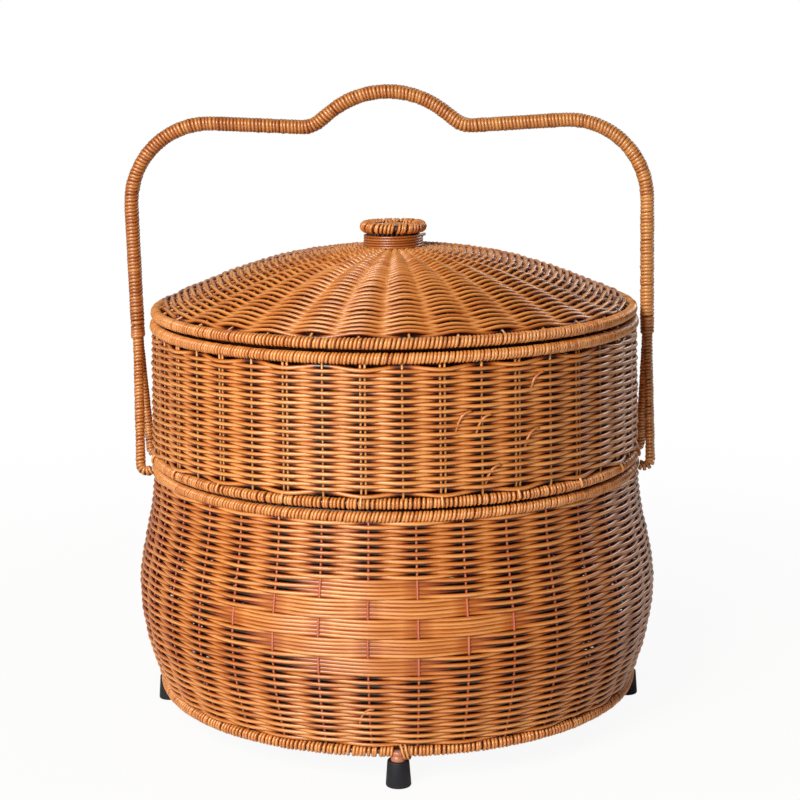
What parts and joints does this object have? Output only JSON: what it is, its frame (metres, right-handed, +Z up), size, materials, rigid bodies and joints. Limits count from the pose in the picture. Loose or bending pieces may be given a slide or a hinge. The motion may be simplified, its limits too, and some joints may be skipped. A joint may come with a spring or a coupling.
{
  "type": "tiered storage basket",
  "caption": "Round woven storage basket in two tiers, with a domed lid, a wound knob, a tall fixed bail handle on forked legs and rubber feet.",
  "frame": {"origin": "on the ground, in the middle of the four feet", "axes": "+Z up, -Y towards the front with the block weave panel, +X to the right along the handle"},
  "size_m": [0.4065, 0.402, 0.4845],
  "materials": {
    "wicker": "woven round cane, honey brown, satin lacquer",
    "wrapping": "cane wound closely round rods and rings, satin lacquer",
    "cane": "bare peeled cane, satin",
    "floor": "woven cane on radial stakes, satin",
    "rubber": "matt black moulded rubber"
  },
  "bodies": {
    "lower_basket": {"lower_wall": "wicker", "base_ring": "wrapping", "lower_rim": "wrapping", "lower_floor": "floor", "foot_cup_front": "rubber", "foot_cup_right": "rubber", "foot_cup_back": "rubber", "foot_cup_left": "rubber", "foot_post_front": "cane", "foot_post_right": "cane", "foot_post_back": "cane", "foot_post_left": "cane", "handle_grip": "wrapping", "handle_side_left": "wrapping", "handle_side_right": "wrapping", "handle_leg_left_front": "wrapping", "handle_leg_left_back": "wrapping", "handle_leg_right_front": "wrapping", "handle_leg_right_back": "wrapping", "handle_binding_left": "wrapping", "handle_binding_right": "wrapping"},
    "tray": {"tray_wall": "wicker", "tray_foot_ring": "wrapping", "tray_mouth_ring": "wrapping", "tray_floor": "floor", "tray_locator": "cane"},
    "lid": {"lid_dome": "wicker", "lid_ring": "wrapping", "lid_locator": "cane", "knob_plug": "cane", "knob_neck": "wrapping", "knob_core": "cane", "knob_winding": "wrapping"}
  },
  "joints": [
    {"name": "tray_lift", "type": "slide", "parent": "lower_basket", "child": "tray", "axis": [0, 0, 1], "range_m": [0, 0.045]},
    {"name": "lid_lift", "type": "slide", "parent": "tray", "child": "lid", "axis": [0, 0, 1], "range_m": [0, 0.03]}
  ]
}
